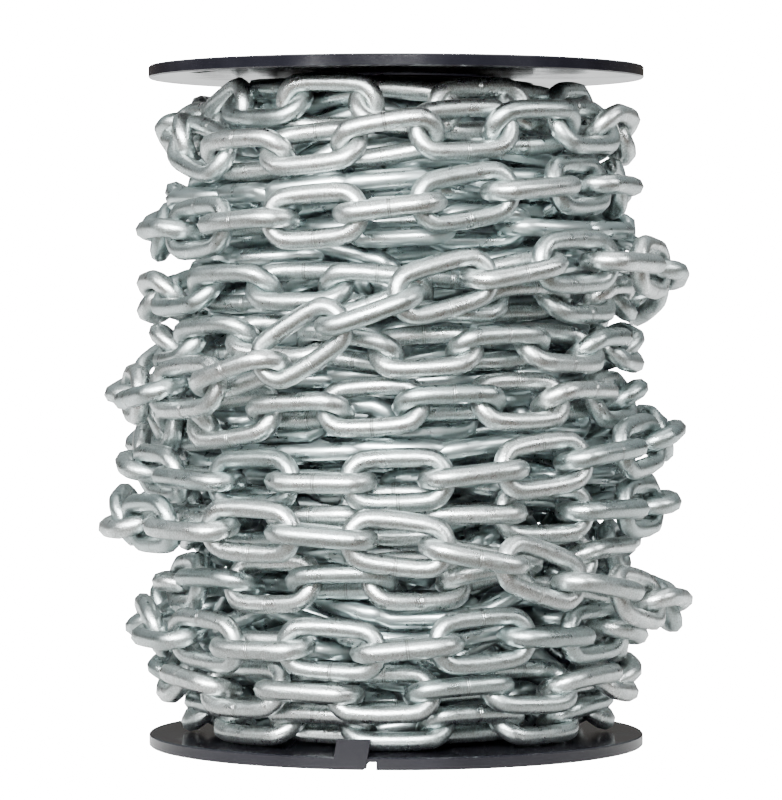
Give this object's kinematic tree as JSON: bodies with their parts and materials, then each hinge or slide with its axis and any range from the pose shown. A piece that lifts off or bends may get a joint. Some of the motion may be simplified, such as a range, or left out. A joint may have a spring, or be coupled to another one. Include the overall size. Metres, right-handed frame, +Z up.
{
  "type": "reel of steel chain",
  "caption": "Welded steel link chain wound on a black plastic reel that stands upright on its lower flange, open along its axis for a spindle.",
  "frame": {"origin": "on the reel's axis, at the floor under the lower flange", "axes": "+Z up along the reel's axis; -Y faces the viewer of the picture, +X is to the right"},
  "size_m": [0.1982, 0.1966, 0.226],
  "materials": {
    "chain_steel": "bright zinc plated, satin with long highlights",
    "reel_plastic": "glossy moulded black"
  },
  "bodies": {
    "root": {"reel_flange_bottom": "reel_plastic", "reel_flange_top": "reel_plastic", "reel_barrel": "reel_plastic", "chain_core": "chain_steel", "inner_turn_1": "chain_steel", "inner_turn_2": "chain_steel", "inner_turn_3": "chain_steel", "inner_turn_4": "chain_steel", "inner_turn_5": "chain_steel", "inner_turn_6": "chain_steel", "inner_turn_7": "chain_steel", "inner_turn_8": "chain_steel", "inner_turn_9": "chain_steel", "outer_turn_1": "chain_steel", "outer_turn_2": "chain_steel", "outer_turn_3": "chain_steel", "outer_turn_4": "chain_steel", "outer_turn_5": "chain_steel"}
  },
  "joints": []
}
